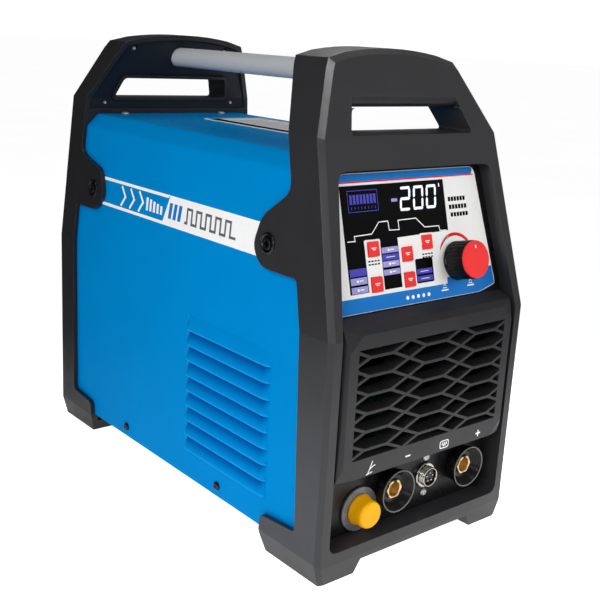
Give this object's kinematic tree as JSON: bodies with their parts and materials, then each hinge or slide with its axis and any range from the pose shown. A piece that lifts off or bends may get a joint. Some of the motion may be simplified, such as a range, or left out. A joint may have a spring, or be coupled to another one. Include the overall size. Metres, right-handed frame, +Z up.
{
  "type": "tig welding machine",
  "caption": "Portable inverter TIG welding machine: blue sheet steel cover between two moulded black end frames with a carrying tube, sloped control panel, cooling grille and welding sockets.",
  "frame": {"origin": "on the floor, under the middle of the four feet", "axes": "+Z up, front of the machine faces -Y, +X to the right hand of someone behind it looking forward"},
  "size_m": [0.2346, 0.459, 0.428],
  "materials": {
    "frame_plastic": "fine grained moulded black plastic",
    "tube_alloy": "satin silver tube",
    "cover_paint": "semi-gloss blue powder coat on sheet steel",
    "zinc_sheet": "zinc plated sheet steel",
    "label_film": "printed label film",
    "overlay_film": "printed polycarbonate overlay",
    "lens_plastic": "smoked display window",
    "knob_black": "fluted black plastic",
    "red_plastic": "smooth red plastic",
    "circuit_board": "solder mask green",
    "plated_steel": "bright plated steel",
    "socket_plastic": "smooth black nylon",
    "contact_brass": "machined brass",
    "nickel_plate": "bright nickel plate",
    "washer_grey": "grey rubber washer",
    "yellow_plastic": "soft yellow plastic cap",
    "rear_paint": "black powder coat",
    "fan_plastic": "black moulded plastic",
    "cable_rubber": "black cable jacket",
    "black_steel": "black oxide steel",
    "heatsink_alloy": "extruded aluminium",
    "winding_copper": "varnished copper winding on a ferrite core"
  },
  "bodies": {
    "housing": {"front_frame": "frame_plastic", "rear_frame": "frame_plastic", "rear_arch_plate": "frame_plastic", "fascia": "frame_plastic", "grille_bezel": "frame_plastic", "handle_tube": "tube_alloy", "cover": "cover_paint", "base_pan": "zinc_sheet", "top_label": "label_film", "control_overlay": "overlay_film", "display_lens": "lens_plastic", "display_module": "lens_plastic", "control_board": "circuit_board", "power_board": "circuit_board", "encoder": "plated_steel", "negative_socket": "socket_plastic", "positive_socket": "socket_plastic", "negative_contact": "contact_brass", "positive_contact": "contact_brass", "control_socket": "nickel_plate", "control_insert": "socket_plastic", "gas_washer": "washer_grey", "gas_outlet": "contact_brass", "rear_panel": "rear_paint", "fan_frame": "fan_plastic", "fan_guard": "plated_steel", "switch_housing": "socket_plastic", "mains_gland": "cable_rubber", "mains_cable": "cable_rubber", "gas_inlet": "contact_brass", "gas_valve": "contact_brass", "gas_hose": "cable_rubber", "heatsink": "heatsink_alloy", "main_transformer": "winding_copper", "plate_screw_1": "plated_steel", "cover_screw_1": "black_steel", "plate_screw_2": "plated_steel", "cover_screw_2": "black_steel", "plate_screw_3": "plated_steel", "cover_screw_3": "black_steel", "plate_screw_4": "plated_steel", "cover_screw_4": "black_steel", "top_screw_1": "plated_steel", "socket_screw_1": "plated_steel", "top_screw_2": "plated_steel", "socket_screw_2": "plated_steel", "lug_screw_front_left": "black_steel", "lug_screw_front_right": "black_steel", "lug_screw_rear_left": "black_steel", "lug_screw_rear_right": "black_steel"},
    "knob": {"knob_skirt": "knob_black", "knob_cap": "red_plastic"},
    "fan": {"fan_rotor": "fan_plastic"},
    "mains_rocker": {"switch_rocker": "red_plastic"},
    "dust_cap": {"gas_cap": "yellow_plastic"},
    "key_1": {"button_1": "red_plastic"},
    "key_2": {"button_2": "red_plastic"},
    "key_3": {"button_3": "red_plastic"},
    "key_4": {"button_4": "red_plastic"},
    "key_5": {"button_5": "red_plastic"}
  },
  "joints": [
    {"name": "knob_turn", "type": "hinge", "parent": "housing", "child": "knob", "pos_m": [0.0454, -0.20286, 0.25346], "axis": [0, -0.9666, 0.2563], "continuous": true},
    {"name": "fan_spin", "type": "hinge", "parent": "housing", "child": "fan", "pos_m": [0, 0.178, 0.15], "axis": [0, 1, 0], "continuous": true},
    {"name": "mains_rocker_tilt", "type": "hinge", "parent": "housing", "child": "mains_rocker", "pos_m": [-0.058, 0.1931, 0.285], "axis": [1, 0, 0], "range_deg": [0, 16]},
    {"name": "dust_cap_pull", "type": "slide", "parent": "housing", "child": "dust_cap", "axis": [0, -1, 0], "range_m": [0, 0.045]},
    {"name": "key_1_press", "type": "slide", "parent": "housing", "child": "key_1", "axis": [0, 0.9666, -0.2563], "range_m": [0, 0.0006], "stiffness_N_per_m": 800},
    {"name": "key_2_press", "type": "slide", "parent": "housing", "child": "key_2", "axis": [0, 0.9666, -0.2563], "range_m": [0, 0.0006], "stiffness_N_per_m": 800},
    {"name": "key_3_press", "type": "slide", "parent": "housing", "child": "key_3", "axis": [0, 0.9666, -0.2563], "range_m": [0, 0.0006], "stiffness_N_per_m": 800},
    {"name": "key_4_press", "type": "slide", "parent": "housing", "child": "key_4", "axis": [0, 0.9666, -0.2563], "range_m": [0, 0.0006], "stiffness_N_per_m": 800},
    {"name": "key_5_press", "type": "slide", "parent": "housing", "child": "key_5", "axis": [0, 0.9666, -0.2563], "range_m": [0, 0.0006], "stiffness_N_per_m": 800}
  ]
}
